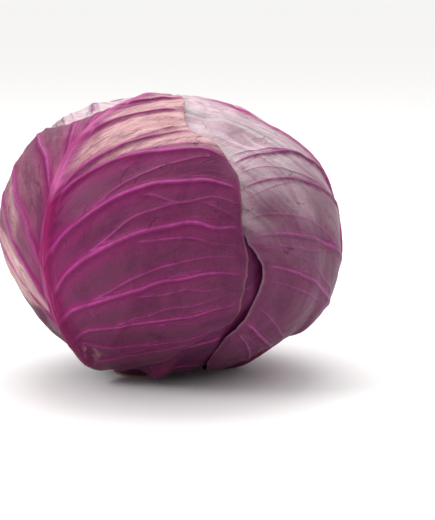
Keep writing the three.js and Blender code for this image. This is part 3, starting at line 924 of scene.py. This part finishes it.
class CABBAGE_OT_wrapper_leaves(bpy.types.Operator):
    """Builds the six wrapper leaves, from the innermost to the outermost"""

    bl_idname = "cabbage.wrapper_leaves"
    bl_label = "Wrapper leaves"

    def execute(self, context):
        # The crown leaves' skin is pale towards the top, partly its own pale skin and partly painted
        # highlight
        skins = {"front": leaf_skin("waxy_front_leaf_skin", context.scene.cabbage_front),
                 "crown": leaf_skin("waxy_pale_leaf_skin_with_painted_highlight", context.scene.cabbage_crown, True),
                 "inner": leaf_skin("waxy_shaded_leaf_skin", context.scene.cabbage_inner)}
        for index, leaf in enumerate(LEAVES):
            piece = build_leaf(index, context.scene.cabbage_sizes)
            dress(piece, skins[leaf.skin], leaf.name)
        return {"FINISHED"}


class CABBAGE_OT_heart(bpy.types.Operator):
    """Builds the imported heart, which shows only between the tips and the bases of the wrapper leaves"""

    bl_idname = "cabbage.heart"
    bl_label = "Heart"

    def execute(self, context):
        bm = bmesh.new()
        bmesh.ops.create_uvsphere(bm, u_segments=160, v_segments=90, radius=1.0)
        piece = finished("heart_leaves", bm)
        d = points_of(piece.data)
        d /= np.linalg.norm(d, axis=1)[:, None]
        place_points(piece.data, to_scene(d * heart_radius(d)[:, None], PRESSED_ROOM))
        store(piece.data, "place", d * HEART_RADIUS)
        skin = leaf_skin("packed_heart_leaves", context.scene.cabbage_inner)
        dress(piece, skin, "heart")
        return {"FINISHED"}


class CABBAGE_OT_stalk(bpy.types.Operator):
    """Builds the stalk, cut level where the head stands on it"""

    bl_idname = "cabbage.stalk"
    bl_label = "Stalk"

    def execute(self, context):
        bm = bmesh.new()
        bmesh.ops.create_circle(bm, cap_ends=True, segments=72, radius=STALK_RADIUS)
        bmesh.ops.translate(bm, verts=bm.verts[:], vec=(0, 0, STALK_TOP))
        base = bmesh.ops.extrude_face_region(bm, geom=bm.faces[:], use_keep_orig=True)
        lower = [part for part in base["geom"] if isinstance(part, bmesh.types.BMVert)]
        bmesh.ops.translate(bm, verts=lower, vec=(0, 0, -CENTRE_HEIGHT))
        bmesh.ops.recalc_face_normals(bm, faces=bm.faces[:])
        centre = Vector((CENTRE_HEIGHT * math.tan(LEAN * RAD), 0, CENTRE_HEIGHT))
        placed = Matrix.Translation(centre * MM) @ Matrix.Rotation(LEAN * RAD, 4, "Y")
        placed = placed @ Matrix.Scale(MM, 4)
        bmesh.ops.transform(bm, matrix=placed, verts=bm.verts[:])
        whole = bm.verts[:] + bm.edges[:] + bm.faces[:]
        cut = bmesh.ops.bisect_plane(bm, geom=whole, plane_co=(0, 0, 0), plane_no=(0, 0, 1),
                                     clear_inner=True)
        rim = [part for part in cut["geom_cut"] if isinstance(part, bmesh.types.BMEdge)]
        bmesh.ops.contextual_create(bm, geom=rim)
        bmesh.ops.recalc_face_normals(bm, faces=bm.faces[:])
        dress(finished("cut_stalk", bm), stalk_flesh(), "stalk")
        return {"FINISHED"}


class StageSettings(bpy.types.PropertyGroup):
    """The floor, the light and the camera."""

    floor: colour_property("Floor", "Colour of the floor", "#f0efee")
    overhead: bpy.props.FloatProperty(name="Overhead softbox", default=6.0, min=0, unit="POWER",
                                      description="Power of the softbox over the head")
    key: bpy.props.FloatProperty(name="Key light", default=6.0, min=0, unit="POWER",
                                 description="Power of the softbox at the front left")
    lens: bpy.props.FloatProperty(name="Lens", default=135.0, min=20, unit="CAMERA",
                                  description="Focal length of the camera")
    elevation: bpy.props.FloatProperty(name="Elevation", default=10 * RAD, subtype="ANGLE",
                                       description="Height of the camera over the horizon")


# Where the camera aims, in millimetres, and its distance for each millimetre of focal length
AIM = (37.5, -2.2, 57.7)
DISTANCE_FOR_LENS = 7.244

# The floor's radius, and each softbox's place and side, in metres
FLOOR_RADIUS = 8.0
OVERHEAD = ((0.0, 0.35, 0.95), 0.8)
KEY = ((-0.95, -0.45, 0.75), 0.45)

# The studio's own light at the horizon and overhead
HORIZON_LIGHT = 0.22
OVERHEAD_LIGHT = 1.35


class CABBAGE_OT_stage(bpy.types.Operator):
    """Builds the pale floor, the soft lights and the camera"""

    bl_idname = "cabbage.stage"
    bl_label = "Stage"

    def execute(self, context):
        settings = context.scene.cabbage_stage
        bm = bmesh.new()
        bmesh.ops.create_circle(bm, cap_ends=True, segments=96, radius=FLOOR_RADIUS)
        floor = finished("floor", bm)
        material = new_material("matt_pale_floor")
        tree = material.node_tree
        shader = node(tree, "BsdfPrincipled", {"Base Color": settings.floor, "Roughness": 0.7})
        node(tree, "OutputMaterial", {"Surface": shader.outputs[0]})
        floor.data.materials.append(material)

        world = bpy.data.worlds.new("studio")
        world.use_nodes = True
        tree = world.node_tree
        tree.nodes.clear()
        direction = node(tree, "TexCoord").outputs["Generated"]
        height = node(tree, "SeparateXYZ", {0: direction}).outputs["Z"]
        glow = node(tree, "MapRange", {"Value": height, "From Min": 0.0, "From Max": 0.9,
                                       "To Min": HORIZON_LIGHT, "To Max": OVERHEAD_LIGHT},
                    interpolation_type="SMOOTHSTEP")
        sky = node(tree, "Background", {"Color": (1, 1, 1, 1), "Strength": glow.outputs["Result"]})
        node(tree, "OutputWorld", {"Surface": sky.outputs[0]})
        context.scene.world = world

        middle = (Vector(CAD_BOX[0]) + Vector(CAD_BOX[1])) / 2
        for name, (where, size), power in (
            ("overhead_softbox", OVERHEAD, settings.overhead),
            ("key_softbox", KEY, settings.key),
        ):
            data = bpy.data.lights.new(name, "AREA")
            data.size = size
            data.energy = power
            light = bpy.data.objects.new(name, data)
            light.location = where
            light.rotation_euler = (middle - Vector(where)).to_track_quat("-Z", "Y").to_euler()
            context.scene.collection.objects.link(light)

        lens = bpy.data.cameras.new("camera")
        lens.lens = settings.lens
        camera = bpy.data.objects.new("camera", lens)
        away = Vector((0, -math.cos(settings.elevation), math.sin(settings.elevation)))
        camera.location = (Vector(AIM) + away * settings.lens * DISTANCE_FOR_LENS) * MM
        camera.rotation_euler = (-away).to_track_quat("-Z", "Y").to_euler()
        context.scene.collection.objects.link(camera)
        context.scene.camera = camera
        context.scene.view_settings.view_transform = "Standard"
        return {"FINISHED"}


class CABBAGE_PT_panel(bpy.types.Panel):
    """Lists the steps in order, with their settings"""

    bl_idname = "CABBAGE_PT_panel"
    bl_label = "Red cabbage head"
    bl_space_type = "VIEW_3D"
    bl_region_type = "UI"
    bl_category = "Cabbage"

    def draw(self, context):
        for operator in OPERATORS:
            self.layout.operator(operator.bl_idname)
        for name in GROUPS:
            group = getattr(context.scene, name)
            for key in group.__annotations__:
                self.layout.prop(group, key)


OPERATORS = (CABBAGE_OT_wrapper_leaves, CABBAGE_OT_heart, CABBAGE_OT_stalk, CABBAGE_OT_stage)
GROUPS = {
    "cabbage_sizes": LeafSizes,
    "cabbage_front": FrontLeafColours,
    "cabbage_crown": CrownLeafColours,
    "cabbage_inner": InnerLeafColours,
    "cabbage_stage": StageSettings,
}


def register():
    for made in (*GROUPS.values(), *OPERATORS, CABBAGE_PT_panel):
        bpy.utils.register_class(made)
    for name, group in GROUPS.items():
        setattr(bpy.types.Scene, name, bpy.props.PointerProperty(type=group))


def unregister():
    for name in GROUPS:
        delattr(bpy.types.Scene, name)
    for made in (CABBAGE_PT_panel, *reversed(OPERATORS), *GROUPS.values()):
        bpy.utils.unregister_class(made)


def main():
    register()
    bpy.ops.cabbage.wrapper_leaves()
    bpy.ops.cabbage.heart()
    bpy.ops.cabbage.stalk()
    bpy.ops.cabbage.stage()


if __name__ == "__main__":
    main()
